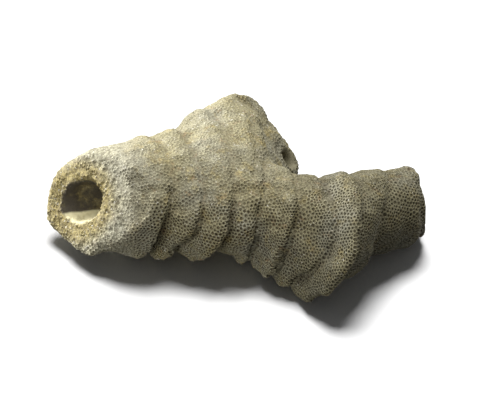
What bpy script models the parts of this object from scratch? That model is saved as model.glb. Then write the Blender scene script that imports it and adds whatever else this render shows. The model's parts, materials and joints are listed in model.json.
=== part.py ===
"""A broken piece of a branching fossil bryozoan: a hollow stem that forks into a short rear
stub and a longer right branch, with ring ridges like stacked collars.

Lengths are millimetres, turned into metres as meshes are made. +X runs along the fossil from
the hollow end to the right branch, +Y to the rear stub, +Z up. The origin is on the floor in
the middle of the part's plan.
"""

import math
from collections import namedtuple

import bmesh
import bpy
import numpy as np
from mathutils import Matrix, Vector, noise

MM = 0.001

# Surface
AROUND = 112  # points round each section
HOLLOW_SIDES = 28
STEPS_PER_RIDGE = 12  # sections from one crest to the next
VOXEL = 0.13  # size of the voxels that join the stem and its branches
TRIANGLES = 8500  # over the whole fossil, before it is split at the fork
WORN = 0.16  # how much of the lowest crests is worn flat where the fossil lies
FORK_GAP = 0.3  # between the pieces at the fork

# Ridges: each rises gently toward its crest and drops steeply behind it
DROP = 0.17  # share of a ridge taken by its steep side
RELIEF_TOP = 0.20  # crest to groove, at the top of the stem and the rear stub
RIGHT_RELIEF_TOP = 0.46  # the same on the right branch
RELIEF_UNDER = 1.45  # crest to groove, underneath
REAR_EASE = 0.4  # how much less of that the rear side has
LUMPS = 0.16  # how far slow unevenness pushes the surface in or out

# The crest of each ridge is one section. turn and lean are how far it shifts along X for each
# mm to the rear and for each mm up. bold scales its ridge.
Crest = namedtuple("Crest", "x y z half_width half_height turn lean bold")

STEM = (
    Crest(-13.9, -2.7, 5.0, 3.30, 3.40, -0.42, 0.45, 0.2),
    Crest(-10.3, -1.7, 4.7, 3.70, 3.80, -0.38, 0.42, 0.3),
    Crest(-6.8, -0.6, 4.5, 4.25, 4.20, -0.34, 0.38, 0.8),
    Crest(-4.7, -0.2, 4.4, 5.00, 4.30, -0.25, 0.34, 1.0),
    Crest(-2.4, 0.5, 4.4, 6.15, 4.45, -0.22, 0.28, 1.0),
    Crest(-0.1, 1.9, 4.3, 7.10, 4.35, -0.18, 0.20, 1.0),
    Crest(1.2, 2.4, 4.2, 6.00, 3.60, -0.16, 0.18, 0.8),
)
RIGHT = (
    Crest(-1.6, -0.6, 4.1, 3.30, 3.60, -0.14, 0.18, 0.8),
    Crest(0.6, -1.5, 4.1, 3.55, 3.90, -0.18, 0.20, 1.0),
    Crest(2.6, -2.9, 4.0, 3.60, 3.90, -0.17, 0.36, 1.0),
    Crest(4.4, -3.8, 4.0, 3.90, 3.95, -0.24, 0.50, 1.0),
    Crest(6.3, -4.75, 4.2, 4.85, 4.25, -0.20, 0.50, 0.9),
    Crest(8.8, -2.4, 3.6, 3.75, 3.65, -0.14, 0.38, 0.7),
    Crest(11.8, -0.1, 3.15, 2.75, 2.95, -0.22, 0.32, 0.6),
    Crest(14.6, 1.2, 2.9, 2.40, 2.75, -0.22, 0.25, 0.5),
)
REAR = (
    Crest(-2.2, 2.6, 4.3, 3.80, 3.90, -0.22, 0.24, 0.5),
    Crest(0.0, 4.0, 4.5, 4.60, 4.30, -0.20, 0.20, 0.8),
    Crest(2.0, 4.5, 4.4, 4.05, 3.95, -0.20, 0.20, 0.7),
    Crest(4.0, 4.5, 4.1, 2.80, 2.85, -0.20, 0.15, 0.5),
    Crest(6.4, 4.0, 4.0, 2.20, 2.30, -0.20, 0.10, 0.3),
)

# Broken ends: a point of each break and the way it faces
LEFT_BREAK = ((-9.73, -1.9, 4.9), (-1.0, -0.80, 0.60))
LEFT_CHIP = ((-11.7, -2.20, 1.88), (-0.60, -0.45, -0.66))
LEFT_RIM = ((-6.66, -3.74, 6.81), (-0.383, -0.74, 0.555))
REAR_BREAK = ((3.10, 6.86, 3.90), (0.79, -0.03, 0.61))
RIGHT_BREAK = ((12.8, 0.3, 3.1), (1.0, 0.22, 0.03))

# Hollows: points along each, with its radius there
STEM_HOLLOW = (
    ((-15.0, -1.6, 4.3), 1.65),
    ((-10.7, -1.05, 4.35), 1.50),
    ((-8.5, -0.7, 4.4), 1.35),
    ((-4.5, 0.6, 4.3), 1.25),
    ((-1.0, 2.0, 4.2), 1.15),
)
REAR_HOLLOW = (
    ((1.40, 4.70, 3.20), 0.60),
    ((2.20, 5.00, 2.85), 0.80),
    ((2.90, 5.30, 2.75), 0.80),
    ((3.62, 5.32, 3.20), 0.86),
    ((4.60, 5.28, 3.95), 0.90),
)

# The fork: three cuts that meet along one line, and the way each faces
FORK = (2.7, 0.6, 4.3)
STEM_TO_REAR = (0.83, 0.55, -0.17)
STEM_TO_RIGHT = (0.98, -0.21, -0.20)
RIGHT_TO_REAR = (-0.29, 0.96, 0.06)

# Dents (and lumps, with a depth under 0): the middle of each, its reach and its depth
DENTS = (
    ((2.25, 3.3, 6.35), 1.15, 0.55),
    ((2.2, 5.4, 5.9), 0.9, 0.30),
    ((3.0, 6.3, 4.4), 1.25, -0.40),
)

STONE = (0.46, 0.40, 0.28, 1.0)


def between(crests, at):
    """The section at a fractional place along a row of crests, on a smooth curve through them."""
    last = len(crests) - 1
    first = min(int(at), last - 1)
    t = at - first
    a, b, c, d = (np.array(crests[min(max(first + k, 0), last)]) for k in (-1, 0, 1, 2))
    curve = 2 * b + (c - a) * t + (2 * a - 5 * b + 4 * c - d) * t**2
    curve = curve + (3 * b - a - 3 * c + d) * t**3
    return Crest(*(curve / 2))


def below_crest(at, sharpness):
    """0 on a crest, 1 in the groove behind it. A lower sharpness makes the crest a keener edge."""
    part = at % 1.0
    if part < DROP:
        step = part / DROP
        return step * step * (3 - 2 * step)
    return (1 - (part - DROP) / (1 - DROP)) ** sharpness


def tube(name, crests, breaks, relief_top):
    """A closed tube through a row of crests, with its ridges and its broken ends."""
    shape = bmesh.new()
    count = (len(crests) - 1) * STEPS_PER_RIDGE
    rings = []
    for step in range(count + 1):
        at = step / STEPS_PER_RIDGE
        mid = between(crests, at)
        ring = []
        for k in range(AROUND):
            angle = 2 * math.pi * k / AROUND
            across, up = math.cos(angle), math.sin(angle)
            under = ((1 - up) / 2) ** 1.1 * (1 - REAR_EASE * (1 + across) / 2)
            wander = 0.10 * math.sin(2 * angle + 1.7 * at) + 0.06 * math.sin(3 * angle - at)
            relief = relief_top + (RELIEF_UNDER - relief_top) * under
            inset = mid.bold * relief * below_crest(at + wander, 1.7 - 0.6 * under)
            dy = across * (mid.half_width - inset)
            dz = up * (mid.half_height - inset)
            x = mid.x + mid.turn * dy + mid.lean * dz
            ring.append(shape.verts.new((x * MM, (mid.y + dy) * MM, (mid.z + dz) * MM)))
        rings.append(ring)
    for near, far in zip(rings, rings[1:]):
        for k in range(AROUND):
            after = (k + 1) % AROUND
            shape.faces.new((near[k], far[k], far[after], near[after]))
    shape.faces.new(rings[0])
    shape.faces.new(rings[-1][::-1])
    bmesh.ops.recalc_face_normals(shape, faces=shape.faces)
    for point, way in breaks:
        slice_off(shape, point, way)
    return placed(name, shape)


def placed(name, shape):
    """The bmesh as a new object of the scene."""
    mesh = bpy.data.meshes.new(name)
    shape.to_mesh(mesh)
    shape.free()
    item = bpy.data.objects.new(name, mesh)
    bpy.context.collection.objects.link(item)
    return item


def hollow(name, points):
    """A closed round cutter along a line of points, each with its radius."""
    shape = bmesh.new()
    places = [Vector(place) for place, _ in points]
    rings = []
    for k, (place, radius) in enumerate(points):
        along = places[min(k + 1, len(places) - 1)] - places[max(k - 1, 0)]
        turn = along.to_track_quat("Z", "Y").to_matrix().to_4x4()
        where = Matrix.Translation(Vector(place) * MM) @ turn
        made = bmesh.ops.create_circle(
            shape, segments=HOLLOW_SIDES, radius=radius * MM, matrix=where
        )
        rings.append(made["verts"])
    for near, far in zip(rings, rings[1:]):
        for k in range(HOLLOW_SIDES):
            after = (k + 1) % HOLLOW_SIDES
            shape.faces.new((near[k], near[after], far[after], far[k]))
    shape.faces.new(rings[0])
    shape.faces.new(rings[-1])
    bmesh.ops.recalc_face_normals(shape, faces=shape.faces)
    return placed(name, shape)


def apply(item):
    """The object with its modifiers made real."""
    graph = bpy.context.evaluated_depsgraph_get()
    mesh = bpy.data.meshes.new_from_object(item.evaluated_get(graph))
    item.modifiers.clear()
    item.data = mesh
    return item


def join_branches(items):
    """One closed skin round the stem and its branches."""
    shape = bmesh.new()
    for item in items:
        shape.from_mesh(item.data)
    whole = placed("fossil", shape)
    for item in items:
        bpy.data.objects.remove(item)
    remesh = whole.modifiers.new("One skin", "REMESH")
    remesh.mode = "VOXEL"
    remesh.voxel_size = VOXEL * MM
    soften = whole.modifiers.new("Soften", "SMOOTH")
    soften.factor = 0.5
    soften.iterations = 1
    return apply(whole)


def roughen(item):
    """Pushes the skin in and out by slow unevenness, the same on every run."""
    outward = [vertex.normal.copy() for vertex in item.data.vertices]
    for vertex, way in zip(item.data.vertices, outward):
        place = vertex.co / MM
        slow = noise.noise(place * 0.45 + Vector((3.1, 7.7, 1.9)))
        fine = noise.noise(place * 1.3 + Vector((9.2, 0.4, 5.5)))
        vertex.co += way * (LUMPS * (slow + 0.45 * fine) * MM)


def dent(item):
    """Presses each dent into the skin, and raises each lump from it."""
    outward = [vertex.normal.copy() for vertex in item.data.vertices]
    for place, reach, depth in DENTS:
        middle = Vector(place) * MM
        for vertex, way in zip(item.data.vertices, outward):
            part = (vertex.co - middle).length / (reach * MM)
            if part < 1:
                vertex.co -= way * (depth * MM * (1 - part * part) ** 2)


def slice_off(shape, point, way):
    """Cuts a bmesh at a plane, drops what is beyond it and closes the cut."""
    everything = list(shape.verts) + list(shape.edges) + list(shape.faces)
    cut = bmesh.ops.bisect_plane(
        shape,
        geom=everything,
        dist=1e-7,
        plane_co=Vector(point) * MM,
        plane_no=Vector(way).normalized(),
        clear_outer=True,
    )
    edges = [e for e in cut["geom_cut"] if isinstance(e, bmesh.types.BMEdge) and e.is_boundary]
    bmesh.ops.holes_fill(shape, edges=edges, sides=0)


def drop_crumbs(shape):
    """Leaves only the largest of the separate bodies in a bmesh."""
    waiting = set(shape.verts)
    bodies = []
    while waiting:
        body = [waiting.pop()]
        for vertex in body:
            near = {edge.other_vert(vertex) for edge in vertex.link_edges} & waiting
            waiting -= near
            body.extend(near)
        bodies.append(body)
    bodies.sort(key=len)
    crumbs = [vertex for body in bodies[:-1] for vertex in body]
    bmesh.ops.delete(shape, geom=crumbs, context="VERTS")


def slice_object(item, planes):
    shape = bmesh.new()
    shape.from_mesh(item.data)
    for point, way in planes:
        slice_off(shape, point, way)
    drop_crumbs(shape)
    bmesh.ops.triangulate(shape, faces=shape.faces)
    shape.to_mesh(item.data)
    shape.free()


def bore(item, cutter):
    cut = item.modifiers.new("Hollow", "BOOLEAN")
    cut.operation = "DIFFERENCE"
    cut.solver = "EXACT"
    cut.object = cutter
    apply(item)
    bpy.data.objects.remove(cutter)


def thin_out(item, triangles):
    item.data.calc_loop_triangles()
    fewer = item.modifiers.new("Fewer triangles", "DECIMATE")
    fewer.ratio = triangles / len(item.data.loop_triangles)
    fewer.use_collapse_triangulate = True
    return apply(item)


def stone(name):
    material = bpy.data.materials.new(name)
    material.use_nodes = True
    shader = material.node_tree.nodes["Principled BSDF"]
    shader.inputs["Base Color"].default_value = STONE
    shader.inputs["Roughness"].default_value = 0.9
    return material


def piece(whole, name, planes):
    """A copy of the fossil cut down to one side of each plane."""
    item = bpy.data.objects.new(name, whole.data.copy())
    bpy.context.collection.objects.link(item)
    slice_object(item, planes)
    item.data.materials.clear()
    item.data.materials.append(stone(name + "_stone"))
    return item


def one_side(point, way, side):
    """The cut that leaves what lies on one side of a fork plane, half a gap away from it."""
    out = Vector(way).normalized() * side
    return Vector(point) - out * (FORK_GAP / 2), out


for old in list(bpy.data.objects):
    bpy.data.objects.remove(old, do_unlink=True)

fossil = join_branches(
    [
        tube("stem", STEM, [LEFT_BREAK, LEFT_CHIP, LEFT_RIM], RELIEF_TOP),
        tube("right", RIGHT, [RIGHT_BREAK], RIGHT_RELIEF_TOP),
        tube("rear", REAR, [REAR_BREAK], RELIEF_TOP),
    ]
)
roughen(fossil)
dent(fossil)
thin_out(fossil, TRIANGLES)
bore(fossil, hollow("stem_hollow", STEM_HOLLOW))
bore(fossil, hollow("rear_hollow", REAR_HOLLOW))

lowest = min(vertex.co.z for vertex in fossil.data.vertices) / MM
slice_object(fossil, [((0, 0, lowest + WORN), (0, 0, -1))])
corners = np.array([vertex.co for vertex in fossil.data.vertices])
middle = (corners.min(axis=0) + corners.max(axis=0)) / 2
shift = Vector((-middle[0], -middle[1], -corners[:, 2].min()))
fossil.data.transform(Matrix.Translation(shift))

fork = Vector(FORK) + shift / MM
before_rear = one_side(fork, STEM_TO_REAR, 1)
before_right = one_side(fork, STEM_TO_RIGHT, 1)
after_rear = one_side(fork, STEM_TO_REAR, -1)
after_right = one_side(fork, STEM_TO_RIGHT, -1)
piece(fossil, "stem", [before_rear, before_right])
piece(fossil, "rear_branch", [after_rear, one_side(fork, RIGHT_TO_REAR, -1)])
piece(fossil, "right_branch", [after_right, one_side(fork, RIGHT_TO_REAR, 1)])
bpy.data.objects.remove(fossil)
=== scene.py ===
"""A branching fossil bryozoan: one skin of stone, pitted all over by the openings of its tubes.

The solids give the ridges, the fork, the broken ends and the hollows. Here one smooth body is
grown over them, an even net of cells is laid on it, and each cell is opened as a small pit.
"""

import math

import bmesh
import bpy
import numpy as np
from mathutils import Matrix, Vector, noise
from mathutils.bvhtree import BVHTree
from mathutils.kdtree import KDTree
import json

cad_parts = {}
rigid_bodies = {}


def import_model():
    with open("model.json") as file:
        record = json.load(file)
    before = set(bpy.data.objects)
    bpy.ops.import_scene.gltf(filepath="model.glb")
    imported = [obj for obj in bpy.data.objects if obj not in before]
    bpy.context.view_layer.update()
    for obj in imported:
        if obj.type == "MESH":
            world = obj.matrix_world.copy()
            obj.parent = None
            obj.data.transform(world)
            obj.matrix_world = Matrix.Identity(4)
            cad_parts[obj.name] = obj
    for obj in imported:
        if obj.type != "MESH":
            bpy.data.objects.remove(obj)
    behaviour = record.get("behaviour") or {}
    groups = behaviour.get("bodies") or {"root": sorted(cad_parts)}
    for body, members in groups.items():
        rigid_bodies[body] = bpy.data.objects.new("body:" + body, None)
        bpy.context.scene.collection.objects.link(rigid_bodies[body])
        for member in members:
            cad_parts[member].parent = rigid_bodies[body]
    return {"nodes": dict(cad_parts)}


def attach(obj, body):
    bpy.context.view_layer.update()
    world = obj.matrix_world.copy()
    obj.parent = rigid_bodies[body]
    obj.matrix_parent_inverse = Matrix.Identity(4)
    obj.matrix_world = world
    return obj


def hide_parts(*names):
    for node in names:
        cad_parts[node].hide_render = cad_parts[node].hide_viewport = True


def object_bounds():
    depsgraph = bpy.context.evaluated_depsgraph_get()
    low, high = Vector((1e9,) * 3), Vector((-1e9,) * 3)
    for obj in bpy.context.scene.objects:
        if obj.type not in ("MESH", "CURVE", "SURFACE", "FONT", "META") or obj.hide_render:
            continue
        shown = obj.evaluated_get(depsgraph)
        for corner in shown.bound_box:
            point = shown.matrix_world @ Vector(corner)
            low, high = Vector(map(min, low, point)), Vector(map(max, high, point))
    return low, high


bl_info = {
    "name": "Fossil bryozoan",
    "version": (1, 0, 0),
    "blender": (4, 5, 0),
    "location": "3D View > Sidebar > Fossil",
    "description": "Grows the pitted stone skin of a branching fossil bryozoan",
    "category": "Object",
}

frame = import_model()
CAD_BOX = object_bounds()

MM = 0.001
NODES = ("stem", "rear_branch", "right_branch")
ROOT = "root"
SEED = 7

# The gap between the solids where they meet at the fork
FORK_GAP = 0.3 * MM
# How far the skin's rims at the fork go in before they are capped, in millimetres
RIM_DEPTH = 0.4

# The grain of the body that the skin is laid on
BODY_VOXEL = 0.09 * MM
# Rounds of smoothing after which a body has no ridges left
SLOW_ROUNDS = 110
# The most that a point counts as standing out of its ridge, in millimetres
MOST_STAND = 0.4
# How much that is added to again on top, how much more below, and what the right branch's top loses
SHARPER_ON_TOP, SHARPER_BELOW, FLATTER_RIGHT = 0.45, 0.80, 0.30
# Broad and fine unevenness: how many lumps to a millimetre, and their height in millimetres
BROAD_LUMPS, FINE_LUMPS = (1.1, 0.10), (2.6, 0.06)
# How far the body and then the skin keep inside the solids' box, in millimetres
BODY_MARGIN, SKIN_MARGIN = 0.005, 0.001

# Edges of the net longer or shorter than these shares of its spacing are split or closed up
LONG_SHARE, SHORT_SHARE = 1.38, 0.72
# The first rounds, in which long edges are split, and the last, in which none are closed up
SPLIT_ROUNDS, QUIET_ROUNDS = 6, 2

# Stone more worn than this has shallow openings with no inner ring
VERY_WORN = 0.6
# Edges of the skin sharper than this are shaded sharp
SHARP_ANGLE = math.radians(48)

# Where the source's own origin lies in the frame, in millimetres
SHIFT = np.array((0.025, 0.428, -0.030))
# The hollows' middle lines and radii, and the broken ends: a point and the way each faces
STEM_HOLLOW = (
    ((-15.0, -1.6, 4.3), 1.65),
    ((-10.7, -1.05, 4.35), 1.50),
    ((-8.5, -0.7, 4.4), 1.35),
    ((-4.5, 0.6, 4.3), 1.25),
    ((-1.0, 2.0, 4.2), 1.15),
)
REAR_HOLLOW = (
    ((1.40, 4.70, 3.20), 0.60),
    ((2.20, 5.00, 2.85), 0.80),
    ((2.90, 5.30, 2.75), 0.80),
    ((3.62, 5.32, 3.20), 0.86),
    ((4.60, 5.28, 3.95), 0.90),
)
BREAKS = (
    ((-9.73, -1.9, 4.9), (-1.0, -0.80, 0.60)),
    ((-6.66, -3.74, 6.81), (-0.383, -0.74, 0.555)),
    ((3.10, 6.86, 3.90), (0.79, -0.03, 0.61)),
    ((12.8, 0.3, 3.1), (1.0, 0.22, 0.03)),
)

# The side of the stem's hollow that pale stone fills and where light is painted, and the even share
# of both past this Y on the stub
LIT_FILLED_SIDE = np.array((0.85, -0.30, -0.43))
STUB_SIDE, STUB_LIT_FILLING = 4.0, 0.42

# A cell this near a broken end's plane, in millimetres, and facing this much its way is on it
BREAK_DEPTH, BREAK_FACING = 0.35, 0.8
# The middle of the stem's broken end
END_CENTRE = np.array((-10.6, -1.0, 4.4))
# The top of the rear stub, and its rounded shoulder towards the stem
STUB_TOP = np.array((2.6, 4.9, 7.0))
STUB_SHOULDER = np.array((-1.9, 5.0, 7.8))
# The valley between the rear stub and the right branch, and where it starts and ends to fade
CROTCH = np.array((3.8, 1.8, 5.4))
CROTCH_FADE = (2.2, 4.2)
# Where the three solids meet, and how far round it the joint lines are looked for
FORK = np.array((2.7, 0.6, 4.3))
FORK_REACH = 6.5

# The fineness of each pattern in the stone
PATCHES, OCHRE_PATCHES, RUST_FLECKS, STAIN_EDGE = 260.0, 900.0, 1300.0, 1500.0
GRANULES, SPECKS, GRAINS = 3600.0, 5200.0, 9000.0
# What multiplies the stone's colour: grain, cracks and granules; painted shade in the grooves, partly
# brown dirt; a painted highlight on the crests; painted shade toward the tip
DARK_GRAIN, LIGHT_GRAIN = (0.56, 0.54, 0.50), (1.40, 1.40, 1.43)
CRACK, GRANULE = (0.52, 0.50, 0.44), (1.12, 1.14, 1.12)
GROOVE_DIRT_AND_SHADE, CREST_HIGHLIGHT = (0.46, 0.35, 0.21), (1.25, 1.25, 1.25)
# Painted shade toward the right branch's tip and low down on it
TIP_SHADE = (0.52, 0.52, 0.50)
# Colours of the pale specks, of the painted shade deep in the hollows, and of their pale infill,
# brightened as painted light
PALE_SPECK, HOLLOW_SHADE, LIT_FILLING = (0.46, 0.44, 0.37), (0.034, 0.026, 0.013), (0.52, 0.47, 0.28)
ROUGHNESS = 0.82
BUMP_STRENGTH, BUMP_HEIGHT = 0.6, 0.05 * MM

# Each light's angular width in degrees, and the way it shines
KEY_LIGHT = (18, (0.86, -0.48, -0.14))
TOP_LIGHT = (80, (-0.05, -0.38, -0.90))
FRONT_LIGHT = (50, (0.66, 0.68, -0.32))
FLOOR_LIGHT = (28, (0.03, -0.20, -1.0))
# The camera's lens and sensor in millimetres, its distance in metres, and what it looks at
LENS, SENSOR = 617, 36
CAMERA_DISTANCE = 0.600
AIM = (0.98, 0.965, 2.8)


class FossilSettings(bpy.types.PropertyGroup):
    """Sizes and colours of the fossil's surface."""

    spacing: bpy.props.FloatProperty(
        name="Opening spacing",
        description="From the middle of one opening to the next",
        default=0.272 * MM,
        min=0.2 * MM,
        max=0.8 * MM,
        unit="LENGTH",
        precision=5,
    )
    rounds: bpy.props.IntProperty(
        name="Evening rounds",
        description="How many times the net of openings is evened out over the surface",
        default=14,
        min=1,
        max=40,
    )
    opening: bpy.props.FloatProperty(
        name="Opening width",
        description="Width of an opening as a share of its cell",
        default=0.66,
        min=0.3,
        max=0.9,
        subtype="FACTOR",
    )
    depth: bpy.props.FloatProperty(
        name="Opening depth",
        description="How deep an opening goes before it is filled with stone",
        default=0.115 * MM,
        min=0.02 * MM,
        max=0.4 * MM,
        unit="LENGTH",
        precision=5,
    )
    relief: bpy.props.FloatProperty(
        name="Ridge relief",
        description="How much the ridges are sharpened beyond the solids' own",
        default=1.0,
        min=0.0,
        max=1.0,
        subtype="FACTOR",
    )
    wall: bpy.props.FloatVectorProperty(
        name="Walls",
        description="Colour of the walls between the openings",
        default=(0.222, 0.200, 0.112),
        subtype="COLOR",
        min=0.0,
        max=1.0,
    )
    # Painted shade: this tint darkens and browns the stone deep in the openings
    pit: bpy.props.FloatVectorProperty(
        name="Openings",
        description="Tint of the stone deep in the openings",
        default=(0.42, 0.35, 0.26),
        subtype="COLOR",
        min=0.0,
        max=1.0,
    )
    ochre: bpy.props.FloatVectorProperty(
        name="Ochre",
        description="Colour of the iron stain round the hollow and in patches",
        default=(0.255, 0.205, 0.078),
        subtype="COLOR",
        min=0.0,
        max=1.0,
    )
    rust: bpy.props.FloatVectorProperty(
        name="Rust",
        description="Colour of the small brown flecks",
        default=(0.225, 0.145, 0.060),
        subtype="COLOR",
        min=0.0,
        max=1.0,
    )
    bleached: bpy.props.FloatVectorProperty(
        name="Bleached",
        description="Colour of the pale stone round the broken end",
        default=(0.300, 0.286, 0.218),
        subtype="COLOR",
        min=0.0,
        max=1.0,
    )
    grey: bpy.props.FloatVectorProperty(
        name="Grey",
        description="Colour of the greyer patches",
        default=(0.220, 0.209, 0.146),
        subtype="COLOR",
        min=0.0,
        max=1.0,
    )


class StageSettings(bpy.types.PropertyGroup):
    """The floor, the light and the camera's height."""

    floor: bpy.props.FloatVectorProperty(
        name="Floor",
        description="Colour of the floor",
        default=(0.90, 0.90, 0.90),
        subtype="COLOR",
        min=0.0,
        max=1.0,
    )
    key: bpy.props.FloatProperty(
        name="Key light",
        description="Strength of the main light",
        default=7.8,
        min=0.0,
        max=20.0,
    )
    top: bpy.props.FloatProperty(
        name="Top light",
        description="Strength of the wide light overhead",
        default=6.2,
        min=0.0,
        max=20.0,
    )
    front: bpy.props.FloatProperty(
        name="Front light",
        description="Strength of the weak light from the front left",
        default=1.7,
        min=0.0,
        max=20.0,
    )
    floor_light: bpy.props.FloatProperty(
        name="Floor light",
        description="Strength of the light that only the floor takes",
        default=4.5,
        min=0.0,
        max=20.0,
    )
    fill: bpy.props.FloatProperty(
        name="Fill light",
        description="Strength of the light from all round",
        default=0.10,
        min=0.0,
        max=5.0,
    )
    elevation: bpy.props.FloatProperty(
        name="Camera height",
        description="Angle of the camera above the floor",
        default=math.radians(38),
        min=0.0,
        max=math.pi / 2,
        subtype="ANGLE",
    )


def only(*items):
    """Selects these objects and nothing else, with the first of them active."""
    bpy.ops.object.select_all(action="DESELECT")
    for item in items:
        item.select_set(True)
    bpy.context.view_layer.objects.active = items[0]


def finish_modifier(item, kind, **settings):
    """Puts a modifier on an object and applies it."""
    only(item)
    modifier = item.modifiers.new(kind.title(), kind)
    for name, value in settings.items():
        setattr(modifier, name, value)
    bpy.ops.object.modifier_apply(modifier=modifier.name)


def duplicate(item, name):
    made = bpy.data.objects.new(name, item.data.copy())
    bpy.context.scene.collection.objects.link(made)
    return made


def merged_copy(item, name):
    """A copy of a solid with its loose triangles joined."""
    made = duplicate(item, name)
    only(made)
    bpy.ops.object.mode_set(mode="EDIT")
    bpy.ops.mesh.select_all(action="SELECT")
    bpy.ops.mesh.remove_doubles(threshold=0.001 * MM)
    bpy.ops.object.mode_set(mode="OBJECT")
    return made


def read(items, name, width):
    """One property of every item of a mesh, as rows of numbers."""
    kind = np.int32 if name == "vertices" else np.float32
    values = np.empty(len(items) * width, kind)
    items.foreach_get(name, values)
    return values.reshape(-1, width).astype(np.int64 if kind is np.int32 else np.float64)


def write_points(item, points):
    """Puts the points of a mesh at these places."""
    item.data.vertices.foreach_set("co", points.astype(np.float32).ravel())
    item.data.update()


def in_source(points):
    """The frame's points in the source's own millimetres."""
    return points / MM - SHIFT


def inside_box(points, margin):
    """These points, kept so many millimetres inside the solids' box."""
    low, high = (np.array(corner) for corner in CAD_BOX)
    return np.clip(points, low + margin * MM, high - margin * MM)


def distance(places, point):
    return np.linalg.norm(places - point, axis=1)


def rise(values, low, high):
    """0 below low, 1 above high, and smooth between."""
    part = np.clip((values - low) / (high - low), 0, 1)
    return part * part * (3 - 2 * part)


def tree_of(item):
    """A mesh, ready for finding the nearest place on it."""
    shape = bmesh.new()
    shape.from_mesh(item.data)
    tree = BVHTree.FromBMesh(shape)
    shape.free()
    return tree


def close_fork(items):
    """Moves each face that looks across the fork's gap at its neighbour over to it."""
    trees = [tree_of(item) for item in items]
    for item, own in zip(items, trees):
        others = [tree for tree in trees if tree is not own]
        moves = {}
        for face in item.data.polygons:
            start = face.center + face.normal * 1e-6
            hits = [tree.ray_cast(start, face.normal, FORK_GAP * 1.25) for tree in others]
            if not any(hit[0] for hit in hits):
                continue
            for index in face.vertices:
                ways = moves.setdefault(index, [])
                if all(way.dot(face.normal) < 0.98 for way in ways):
                    ways.append(face.normal.copy())
        for index, ways in moves.items():
            for way in ways:
                item.data.vertices[index].co += way * (FORK_GAP * 0.62)


def grow_body(settings):
    """One closed body over the three solids, and how far each point stands out of its ridge."""
    items = [merged_copy(frame["nodes"][name], name + "_copy") for name in NODES]
    close_fork(items)
    only(*items)
    bpy.ops.object.join()
    body = items[0]
    body.name = "body_under_skin"
    finish_modifier(body, "REMESH", mode="VOXEL", voxel_size=BODY_VOXEL)
    finish_modifier(body, "SMOOTH", factor=0.5, iterations=3)
    seam = blend_fork(body)
    round_ends(body)
    thicken_rim(body)
    slow = duplicate(body, "slow_body")
    finish_modifier(slow, "SMOOTH", factor=0.5, iterations=SLOW_ROUNDS)
    points = read(body.data.vertices, "co", 3)
    away = points - read(slow.data.vertices, "co", 3)
    ways = read(slow.data.vertices, "normal", 3)
    stand = np.einsum("ij,ij->i", away, ways)
    bpy.data.objects.remove(slow)
    below = 1 - rise(ways[:, 2] + 0.3 * ways[:, 1], 0.0, 0.9)
    places = in_source(points)
    right = rise(places[:, 0], 3.0, 6.0)
    rim = rise(beyond_line(places, REAR_HOLLOW), 0.3, 1.0)
    seam = np.maximum(seam, 1 - rise(distance(places, CROTCH), *CROTCH_FADE))
    share = settings.relief * (SHARPER_ON_TOP + SHARPER_BELOW * below) * (1 - seam) * rim
    share -= right * (1 - below) * (share + FLATTER_RIGHT)
    points += ways * (np.clip(stand, -MOST_STAND * MM, MOST_STAND * MM) * share)[:, None]
    points += ways * (lumps_at(points / MM) * rim * MM)[:, None]
    points = inside_box(points, BODY_MARGIN)
    write_points(body, points)
    finish_modifier(body, "REMESH", mode="VOXEL", voxel_size=BODY_VOXEL)
    finish_modifier(body, "SMOOTH", factor=0.5, iterations=4)
    return body, (points, stand)


def lumps_at(places):
    """Small natural unevenness, in millimetres."""
    (often, high), (fine_often, fine_high) = BROAD_LUMPS, FINE_LUMPS
    broad = [noise.noise(Vector(place * often)) for place in places]
    fine = [noise.noise(Vector(place * fine_often)) for place in places]
    return high * np.array(broad) + fine_high * np.array(fine)


def wear(body, name, weights, rounds, fill=0.0):
    """Smooths a body where its weights are high, then fills it out by so many millimetres."""
    group = body.vertex_groups.new(name=name)
    for share in range(1, 11):
        chosen = np.flatnonzero(np.round(weights * 10) == share)
        group.add(chosen.tolist(), share / 10, "REPLACE")
    finish_modifier(body, "SMOOTH", factor=0.5, iterations=rounds, vertex_group=name)
    points = read(body.data.vertices, "co", 3)
    points += read(body.data.vertices, "normal", 3) * (weights * fill * MM)[:, None]
    write_points(body, points)


def blend_fork(body):
    """Fills the line where the solids meet, and gives how near each point is to it."""
    points = read(body.data.vertices, "co", 3)
    trees = [tree_of(frame["nodes"][name]) for name in NODES]
    seam = np.zeros(len(points))
    for index in np.flatnonzero(distance(in_source(points), FORK) < FORK_REACH):
        gaps = sorted(tree.find_nearest(Vector(points[index]))[3] for tree in trees)
        seam[index] = gaps[1] / MM
    seam = np.where(seam > 0, 1 - rise(seam, 0.35, 1.0), 0)
    wear(body, "seam", seam, 60, 0.10)
    return seam


def round_ends(body):
    """Wears the stem's broken end, the rear stub and the valley beside it, outside the hollows."""
    places = in_source(read(body.data.vertices, "co", 3))
    weights = 1 - rise(distance(places, END_CENTRE), 3.4, 6.0)
    wear(body, "worn_end", weights * rise(beyond_line(places, STEM_HOLLOW), 0.15, 0.8), 220, 0.10)
    places = in_source(read(body.data.vertices, "co", 3))
    weights = 1 - rise(distance(places, STUB_TOP), 1.8, 3.0)
    wear(body, "worn_stub", weights * rise(beyond_line(places, REAR_HOLLOW), 0.15, 0.6), 100, 0.14)
    places = in_source(read(body.data.vertices, "co", 3))
    wear(body, "shoulder", 1 - rise(distance(places, STUB_SHOULDER), 0.6, 2.6), 20, 0.4)
    places = in_source(read(body.data.vertices, "co", 3))
    weights = 1 - rise(distance(places, CROTCH), *CROTCH_FADE)
    wear(body, "crotch", weights * rise(beyond_line(places, REAR_HOLLOW), 0.3, 0.9), 1200, 0.25)


def thicken_rim(body):
    """Thickens the thin wall round the stub's hollow, from inside it."""
    places = in_source(read(body.data.vertices, "co", 3))
    wear(body, "thin_wall", 1 - rise(beyond_line(places, REAR_HOLLOW), 0.12, 0.45), 1, 0.20)


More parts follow.
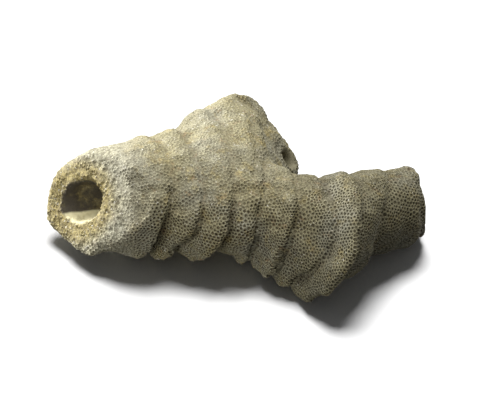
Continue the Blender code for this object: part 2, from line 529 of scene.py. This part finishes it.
def lay_net(body, settings):
    """A closed net of mostly six-sided cells of one size over the body."""
    spacing = settings.spacing
    net = duplicate(body, "net")
    finish_modifier(net, "REMESH", mode="VOXEL", voxel_size=spacing)
    finish_modifier(net, "TRIANGULATE")
    for number in range(settings.rounds):
        bpy.ops.object.mode_set(mode="EDIT")
        bpy.ops.mesh.select_mode(type="EDGE")
        if number < SPLIT_ROUNDS:
            select_edges(net, long_edges(net, spacing * LONG_SHARE))
            bpy.ops.mesh.subdivide(number_cuts=1)
            bpy.ops.mesh.select_all(action="SELECT")
            bpy.ops.mesh.quads_convert_to_tris()
        for _ in range(2 if number < settings.rounds - QUIET_ROUNDS else 0):
            select_edges(net, short_edges(net, spacing * SHORT_SHARE))
            bpy.ops.mesh.merge(type="COLLAPSE")
        bpy.ops.mesh.select_all(action="SELECT")
        bpy.ops.mesh.beautify_fill(angle_limit=math.pi)
        bpy.ops.mesh.vertices_smooth(factor=0.5, repeat=2)
        bpy.ops.object.mode_set(mode="OBJECT")
        finish_modifier(net, "SHRINKWRAP", wrap_method="NEAREST_SURFACEPOINT", target=body)
    turn_to_cells(net)
    finish_modifier(net, "SHRINKWRAP", wrap_method="NEAREST_SURFACEPOINT", target=body)
    return net


def edge_lengths(net):
    ends = read(net.data.edges, "vertices", 2)
    points = read(net.data.vertices, "co", 3)
    return ends, np.linalg.norm(points[ends[:, 0]] - points[ends[:, 1]], axis=1)


def long_edges(net, length):
    net.update_from_editmode()
    return np.flatnonzero(edge_lengths(net)[1] > length)


def short_edges(net, length):
    """The shortest edges first, and none that touches the surroundings of another."""
    net.update_from_editmode()
    ends, lengths = edge_lengths(net)
    near = [[] for _ in net.data.vertices]
    for a, b in ends:
        near[a].append(b)
        near[b].append(a)
    used = np.zeros(len(near), bool)
    chosen = []
    for index in np.argsort(lengths, kind="stable"):
        if lengths[index] > length:
            break
        around = set(near[ends[index, 0]]) | set(near[ends[index, 1]])
        if not any(used[k] for k in around):
            chosen.append(index)
            used[list(around)] = True
    return np.array(chosen, int)


def select_edges(net, chosen):
    shape = bmesh.from_edit_mesh(net.data)
    shape.edges.ensure_lookup_table()
    for edge in shape.edges:
        edge.select_set(False)
    for index in chosen:
        shape.edges[index].select_set(True)
    bmesh.update_edit_mesh(net.data)


def turn_to_cells(net):
    """Swaps the net's triangles for the cells round its points."""
    group = bpy.data.node_groups.new("Cells", "GeometryNodeTree")
    for way in ("INPUT", "OUTPUT"):
        group.interface.new_socket("Geometry", in_out=way, socket_type="NodeSocketGeometry")
    start = group.nodes.new("NodeGroupInput")
    dual = group.nodes.new("GeometryNodeDualMesh")
    end = group.nodes.new("NodeGroupOutput")
    group.links.new(start.outputs[0], dual.inputs[0])
    group.links.new(dual.outputs[0], end.inputs[0])
    only(net)
    modifier = net.modifiers.new("Cells", "NODES")
    modifier.node_group = group
    bpy.ops.object.modifier_apply(modifier=modifier.name)
    bpy.data.node_groups.remove(group)


def beyond_line(points, line):
    """How far each point is outside a hollow, in millimetres."""
    best = np.full(len(points), 1e9)
    for (a, ra), (b, rb) in zip(line, line[1:]):
        a, b = np.array(a), np.array(b)
        along = np.clip((points - a) @ (b - a) / ((b - a) @ (b - a)), 0, 1)
        gap = np.linalg.norm(points - a - along[:, None] * (b - a), axis=1)
        best = np.minimum(best, gap - (ra + (rb - ra) * along))
    return best


def beside_line(points, line):
    """The way from a hollow's middle line out to each point."""
    best, ways = np.full(len(points), 1e9), np.zeros_like(points)
    for (a, _), (b, _) in zip(line, line[1:]):
        a, b = np.array(a), np.array(b)
        along = np.clip((points - a) @ (b - a) / ((b - a) @ (b - a)), 0, 1)
        off = points - a - along[:, None] * (b - a)
        gap = np.linalg.norm(off, axis=1)
        nearer = gap < best
        ways[nearer] = off[nearer] / (gap[nearer, None] + 1e-9)
        best = np.minimum(best, gap)
    return ways


def broken_cells(places, ways):
    """Which cells lie flat on a broken end."""
    broken = np.zeros(len(places), bool)
    for point, way in BREAKS:
        way = np.array(way) / np.linalg.norm(way)
        flush = np.abs((places - point) @ way) < BREAK_DEPTH
        broken |= flush & (ways @ way > BREAK_FACING)
    return broken


def worn_cells(places, ways):
    """How worn the stone is at each cell: most on top, towards the stem's end and on the stub."""
    left = 1 - rise(places[:, 0], -6.0, 4.0)
    patches = np.array([noise.noise(Vector(place * 0.9)) for place in places])
    worn = rise(ways[:, 2] + 0.25 * ways[:, 1] + 0.25 * left + 0.25 * patches, -0.10, 1.10)
    worn *= 1 - 0.35 * rise(places[:, 0], 2.5, 6.0)
    return np.maximum(worn, 0.9 * (1 - rise(distance(places, STUB_TOP), 2.4, 4.0)))


def open_cells(net, stand, settings):
    """Opens each cell of the net as a pit, and leaves one closed skin for each solid."""
    rng = np.random.default_rng(SEED)
    corners = read(net.data.vertices, "co", 3)
    normals = read(net.data.vertices, "normal", 3)
    faces = [list(face.vertices) for face in net.data.polygons]
    centres = np.array([corners[face].mean(axis=0) for face in faces])
    ways = read(net.data.polygons, "normal", 3)
    places = in_source(centres)
    owner = owners(centres)
    lined = np.minimum(beyond_line(places, STEM_HOLLOW), beyond_line(places, REAR_HOLLOW)) < 0.1
    broken = broken_cells(places, ways)
    lined &= ~broken
    stood = nearest_values(*stand, corners) / MM
    worn = worn_cells(places, ways)
    near_end = 1 - rise(distance(places, END_CENTRE), 4.0, 6.0)
    rough = 1 - rise(distance(in_source(corners), END_CENTRE), 3.2, 4.6)
    height = rng.uniform(0.006, 0.03, len(corners))
    height += rough * rng.uniform(-0.03, 0.06, len(corners))
    corners = inside_box(corners + normals * (height * MM)[:, None], SKIN_MARGIN)
    pieces = []
    for number, name in enumerate(NODES):
        points, polys, walls, grooves, outs = [], [], [], [], []
        seen = {}
        for index in np.flatnonzero(owner == number):
            face = faces[index]
            for corner in face:
                if corner not in seen:
                    seen[corner] = len(points)
                    points.append(corners[corner])
                    walls.append(1.0)
                    # How far the stone stands out of its ridge, read by the material for painted
                    # shade in the grooves and a painted highlight on the crests
                    grooves.append(stood[corner] * (1 - 0.4 * worn[index]))
                    outs.append(normals[corner])
            ring = [seen[corner] for corner in face]
            if lined[index]:
                polys.append(ring)
                continue
            here = corners[face]
            centre, way = here.mean(axis=0), ways[index]
            spokes = here - centre
            reach = np.linalg.norm(spokes, axis=1, keepdims=True)
            even = spokes / reach * (0.5 * reach + 0.5 * reach.mean())
            share = settings.opening * rng.uniform(0.88, 1.08) * (1.08 - 0.12 * worn[index])
            deep = settings.depth * rng.uniform(0.75, 1.2) * (1.1 - 0.8 * worn[index])
            deep *= 1 - near_end[index] * rng.uniform(0.3, 0.9)
            # How much an opening's floor is like the wall: its painted shade is weaker where worn,
            # mostly on top, near the stem's end, and toward the right
            tone = 0.85 * worn[index] * rng.uniform(0.6, 1.1)
            if broken[index]:
                share *= rng.uniform(0.6, 1.1)
            tone += (0.9 - tone) * near_end[index]
            tone += 0.25 * (1 - tone) * min(1.0, max(0.0, places[index, 0] / 9.0))
            # Each ring's width and depth, as shares, and how much its stone is like the wall; the
            # rest is painted shade in the opening
            rings = ((share, 0.12, 0.85), (share * 0.72, 1.0, tone))
            if max(worn[index], near_end[index]) > VERY_WORN:
                rings = ((share * 0.86, 1.0, tone),)
            for size, down, mark in rings:
                first = len(points)
                points.extend(centre + even * size - way * (deep * down))
                walls.extend([mark] * len(ring))
                grooves.extend([stood[face].mean() * (1 + 0.5 * worn[index])] * len(ring))
                outs.extend([way] * len(ring))
                inner = list(range(first, first + len(ring)))
                for k in range(len(ring)):
                    after = (k + 1) % len(ring)
                    polys.append([ring[k], ring[after], inner[after], inner[k]])
                ring = inner
            polys.append(ring)
        turn_in_rims(points, polys, outs)
        spare = [0.0] * (len(points) - len(walls))
        traits = {"wall": walls + spare, "ridge": grooves + spare}
        pieces.append(skin_piece(name + "_skin", np.array(points), polys, traits))
    for piece, name in zip(pieces, NODES):
        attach(piece, ROOT)
        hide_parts(name)
    bpy.data.objects.remove(net)
    return pieces


def turn_in_rims(points, polys, outs):
    """Adds a band that goes in from each open edge, so that the cap over it lies inside the stone."""
    rims = {}
    for poly in polys:
        for a, b in zip(poly, poly[1:] + poly[:1]):
            if rims.pop((b, a), None) is None:
                rims[a, b] = True
    inner = {}
    for a, b in rims:
        for k in (a, b):
            if k not in inner:
                inner[k] = len(points)
                points.append(points[k] - outs[k] * (RIM_DEPTH * MM))
        polys.append([b, a, inner[a], inner[b]])


def owners(centres):
    """Which of the solids each cell lies on."""
    trees = [tree_of(frame["nodes"][name]) for name in NODES]
    gaps = [[tree.find_nearest(Vector(c))[3] for c in centres] for tree in trees]
    return np.argmin(np.array(gaps), axis=0)


def nearest_values(places, values, points):
    """The value at the nearest of some places, for each of these points."""
    tree = KDTree(len(places))
    for index, place in enumerate(places):
        tree.insert(place, index)
    tree.balance()
    return values[[tree.find(point)[1] for point in points]]


def traits_at(places):
    """What the stone is like at each place, and where shade and light are painted on it, as shares
    that its material reads.
    """
    hole = beyond_line(places, STEM_HOLLOW)
    stub_hole = beyond_line(places, REAR_HOLLOW)
    off = distance(places, END_CENTRE)
    stain = (1 - rise(hole, 0.6, 2.0)) * (1 - rise(off, 3.2, 4.8)) * rise(hole, -0.2, 0.05)
    # Painted shade: darker toward the right branch's tip, and more so low down
    tip_shade = 0.85 * rise(places[:, 0], -1.0, 8.5)
    tip_shade += 0.45 * rise(places[:, 0], 1.0, 5.0) * (1 - rise(places[:, 2], 2.0, 5.5))
    # Pale infill, partly painted light, on the side of the hollow that the light falls on; the rest
    # of the hollow is painted shade
    lit_filling = rise(beside_line(places, STEM_HOLLOW) @ LIT_FILLED_SIDE, 0.10, 0.40)
    lit_filling[places[:, 1] > STUB_SIDE] = STUB_LIT_FILLING
    return {
        "stain": stain,
        "bleach": rise(hole, 0.6, 1.8) * (1 - rise(off, 4.2, 6.5)),
        "end": 1 - rise(off, 3.8, 5.6),
        "tip_shade": tip_shade,
        "lit_filling": lit_filling,
        "inside": 1 - rise(np.minimum(hole, stub_hole), -0.05, 0.12),
    }


def skin_piece(name, points, polys, traits):
    """A closed mesh of one part of the skin, with what its material reads."""
    mesh = bpy.data.meshes.new(name)
    mesh.from_pydata(points.tolist(), [], polys)
    for trait, values in (traits | traits_at(in_source(points))).items():
        made = mesh.attributes.new(trait, "FLOAT", "POINT")
        made.data.foreach_set("value", np.array(values, np.float32))
    item = bpy.data.objects.new(name, mesh)
    bpy.context.scene.collection.objects.link(item)
    only(item)
    bpy.ops.object.mode_set(mode="EDIT")
    bpy.ops.mesh.select_all(action="DESELECT")
    bpy.ops.mesh.select_mode(type="VERT")
    bpy.ops.mesh.select_non_manifold()
    bpy.ops.mesh.fill_holes(sides=0)
    bpy.ops.object.mode_set(mode="OBJECT")
    bpy.ops.object.shade_smooth_by_angle(angle=SHARP_ANGLE)
    return item


def stone_material(settings):
    """Dry pale stone: worn walls, an ochre stain, bleached patches; painted shade in the openings,
    grooves and hollows and toward the right tip, painted light in the hollows, a painted highlight on
    the crests.
    """
    material = bpy.data.materials.new("fossil_stone")
    material.use_nodes = True
    nodes, links = material.node_tree.nodes, material.node_tree.links
    shader = nodes["Principled BSDF"]
    shader.inputs["Roughness"].default_value = ROUGHNESS
    place = nodes.new("ShaderNodeTexCoord").outputs["Object"]

    def noise(scale, detail=3.0, rough=0.55):
        node = nodes.new("ShaderNodeTexNoise")
        node.inputs["Scale"].default_value = scale
        node.inputs["Detail"].default_value = detail
        node.inputs["Roughness"].default_value = rough
        links.new(place, node.inputs["Vector"])
        return node.outputs["Fac"]

    def trait(name):
        node = nodes.new("ShaderNodeAttribute")
        node.attribute_name = name
        return node.outputs["Fac"]

    def ramp(value, low, high, start=0.0, end=1.0):
        node = nodes.new("ShaderNodeMapRange")
        node.inputs["From Min"].default_value = low
        node.inputs["From Max"].default_value = high
        node.inputs["To Min"].default_value = start
        node.inputs["To Max"].default_value = end
        links.new(value, node.inputs["Value"])
        return node.outputs["Result"]

    def maths(kind, first, second):
        node = nodes.new("ShaderNodeMath")
        node.operation = kind
        node.use_clamp = True
        for socket, value in zip(node.inputs, (first, second)):
            if isinstance(value, bpy.types.NodeSocket):
                links.new(value, socket)
            else:
                socket.default_value = value
        return node.outputs[0]

    def mix(share, first, second, blend="MIX"):
        node = nodes.new("ShaderNodeMix")
        node.data_type = "RGBA"
        node.blend_type = blend
        for socket, value in ((0, share), (6, first), (7, second)):
            if isinstance(value, bpy.types.NodeSocket):
                links.new(value, node.inputs[socket])
            elif socket == 0:
                node.inputs[socket].default_value = value
            else:
                node.inputs[socket].default_value = (*value, 1.0)
        return node.outputs[2]

    def tinted(colour, tint):
        return mix(1.0, colour, tint, "MULTIPLY")

    grains = noise(GRAINS, 2.0, 0.7)
    stone = mix(ramp(noise(PATCHES, 4.0), 0.45, 0.65), settings.wall, settings.grey)
    ochre = ramp(noise(OCHRE_PATCHES, 4.0, 0.65), 0.54, 0.70, 0.0, 0.75)
    stone = mix(ochre, stone, settings.ochre)
    rust = ramp(noise(RUST_FLECKS, 5.0, 0.7), 0.58, 0.72, 0.0, 0.8)
    stone = mix(rust, stone, settings.rust)
    stone = mix(maths("MULTIPLY", trait("bleach"), 0.65), stone, settings.bleached)
    stain = maths("MULTIPLY", trait("stain"), ramp(noise(STAIN_EDGE), 0.3, 0.5, 0.55, 1.0))
    stone = mix(stain, stone, settings.ochre)
    light_grain = ramp(grains, 0.34, 0.66, 0.0, 1.0)
    stone = mix(light_grain, tinted(stone, DARK_GRAIN), tinted(stone, LIGHT_GRAIN))
    granules = ramp(noise(GRANULES, 2.0, 0.6), 0.38, 0.62)
    cracks = mix(ramp(granules, 0.0, 1.0), CRACK, GRANULE)
    stone = mix(ramp(trait("end"), 0.0, 1.0, 0.25, 1.0), stone, tinted(stone, cracks))
    specks = ramp(noise(SPECKS, 1.0, 0.5), 0.66, 0.74)
    specks = maths("MULTIPLY", specks, ramp(trait("inside"), 0.5, 0.0))
    specks = maths("MULTIPLY", specks, ramp(trait("wall"), 0.6, 1.0))
    stone = mix(specks, stone, PALE_SPECK)
    ridge = trait("ridge")
    # Painted shade in the grooves, partly brown dirt, and a painted highlight on the crests
    stone = mix(ramp(ridge, 0.0, -0.20, 0.0, 0.9), stone, tinted(stone, GROOVE_DIRT_AND_SHADE))
    stone = mix(ramp(ridge, 0.05, 0.25, 0.0, 0.3), stone, tinted(stone, CREST_HIGHLIGHT))
    # Painted shade deep in the hollows, with pale infill and painted light on their lit side
    hollow_shade_and_light = mix(ramp(trait("lit_filling"), 0.3, 0.6), HOLLOW_SHADE, LIT_FILLING)
    stone = mix(trait("inside"), stone, hollow_shade_and_light)
    # Painted shade toward the right tip and low down
    stone = mix(trait("tip_shade"), stone, tinted(stone, TIP_SHADE))
    # Painted shade deep in the openings
    deep = tinted(stone, settings.pit)
    colour = mix(ramp(trait("wall"), 0.0, 0.8), deep, stone)
    links.new(colour, shader.inputs["Base Color"])
    bump = nodes.new("ShaderNodeBump")
    bump.inputs["Strength"].default_value = BUMP_STRENGTH
    bump.inputs["Distance"].default_value = BUMP_HEIGHT
    height = maths("MULTIPLY", ramp(grains, 0.2, 0.8), ramp(granules, 0.0, 1.0, 0.5, 1.0))
    links.new(height, bump.inputs["Height"])
    links.new(bump.outputs["Normal"], shader.inputs["Normal"])
    return material


class FOSSIL_OT_skin(bpy.types.Operator):
    """Grow the pitted skin over the stem and its two branches"""

    bl_idname = "fossil.skin"
    bl_label = "Skin"

    def execute(self, context):
        settings = context.scene.fossil
        body, stand = grow_body(settings)
        net = lay_net(body, settings)
        pieces = open_cells(net, stand, settings)
        material = stone_material(settings)
        for piece in pieces:
            piece.data.materials.clear()
            piece.data.materials.append(material)
        bpy.data.objects.remove(body)
        return {"FINISHED"}


class FOSSIL_OT_stage(bpy.types.Operator):
    """Lay the floor and set the lights and the camera"""

    bl_idname = "fossil.stage"
    bl_label = "Stage"

    def execute(self, context):
        stage = context.scene.fossil_stage
        bpy.ops.object.select_all(action="DESELECT")
        bpy.ops.mesh.primitive_plane_add(size=2.0, location=(0, 0, 0))
        floor = context.active_object
        floor.name = "floor"
        paint = bpy.data.materials.new("pale_floor")
        paint.use_nodes = True
        shader = paint.node_tree.nodes["Principled BSDF"]
        shader.inputs["Base Color"].default_value = (*stage.floor, 1.0)
        shader.inputs["Roughness"].default_value = 0.9
        floor.data.materials.append(paint)
        floor.visible_diffuse = False
        world = bpy.data.worlds.new("studio")
        context.scene.world = world
        world.use_nodes = True
        sky = world.node_tree.nodes["Background"]
        sky.inputs["Color"].default_value = (1.0, 1.0, 1.0, 1.0)
        sky.inputs["Strength"].default_value = stage.fill
        # The fossil and the floor have lights of their own, so the floor stays white and even
        fossil = group_of("lit_fossil", [bpy.data.objects[name + "_skin"] for name in NODES])
        add_light("key_light", stage.key, *KEY_LIGHT, fossil)
        add_light("top_light", stage.top, *TOP_LIGHT, fossil)
        add_light("front_light", stage.front, *FRONT_LIGHT, fossil)
        add_light("floor_light", stage.floor_light, *FLOOR_LIGHT, group_of("lit_floor", [floor]))
        place_camera(context.scene, stage.elevation)
        context.scene.view_settings.view_transform = "Standard"
        return {"FINISHED"}


def group_of(name, items):
    group = bpy.data.collections.new(name)
    for item in items:
        group.objects.link(item)
    return group


def add_light(name, energy, width, way, lit):
    """A far light of this angular width, which shines this way on a group of objects."""
    bpy.ops.object.light_add(type="SUN")
    light = bpy.context.active_object
    light.name = name
    light.data.energy = energy
    light.data.angle = math.radians(width)
    light.light_linking.receiver_collection = lit
    light.rotation_euler = Vector(way).to_track_quat("-Z", "Y").to_euler()


def place_camera(scene, elevation):
    """A long lens in front of the fossil, looking down at it."""
    data = bpy.data.cameras.new("camera")
    data.lens = LENS
    data.sensor_width = SENSOR
    data.clip_start, data.clip_end = 0.01, 10
    camera = bpy.data.objects.new("camera", data)
    scene.collection.objects.link(camera)
    aim = Vector(SHIFT + np.array(AIM)) * MM
    back = Vector((0, -math.cos(elevation), math.sin(elevation)))
    camera.location = aim + back * CAMERA_DISTANCE
    camera.rotation_euler = (-back).to_track_quat("-Z", "Y").to_euler()
    scene.camera = camera


class FOSSIL_PT_panel(bpy.types.Panel):
    """The fossil's settings, in the 3D view's sidebar"""

    bl_label = "Fossil bryozoan"
    bl_idname = "FOSSIL_PT_panel"
    bl_space_type = "VIEW_3D"
    bl_region_type = "UI"
    bl_category = "Fossil"

    def draw(self, context):
        for settings in (context.scene.fossil, context.scene.fossil_stage):
            box = self.layout.box()
            for name in settings.__annotations__:
                box.prop(settings, name)
        self.layout.operator(FOSSIL_OT_skin.bl_idname)
        self.layout.operator(FOSSIL_OT_stage.bl_idname)


CLASSES = (FossilSettings, StageSettings, FOSSIL_OT_skin, FOSSIL_OT_stage, FOSSIL_PT_panel)


def register():
    for item in CLASSES:
        bpy.utils.register_class(item)
    bpy.types.Scene.fossil = bpy.props.PointerProperty(type=FossilSettings)
    bpy.types.Scene.fossil_stage = bpy.props.PointerProperty(type=StageSettings)


def unregister():
    del bpy.types.Scene.fossil_stage
    del bpy.types.Scene.fossil
    for item in reversed(CLASSES):
        bpy.utils.unregister_class(item)


def main():
    register()
    bpy.ops.fossil.skin()
    bpy.ops.fossil.stage()


if __name__ == "__main__":
    main()
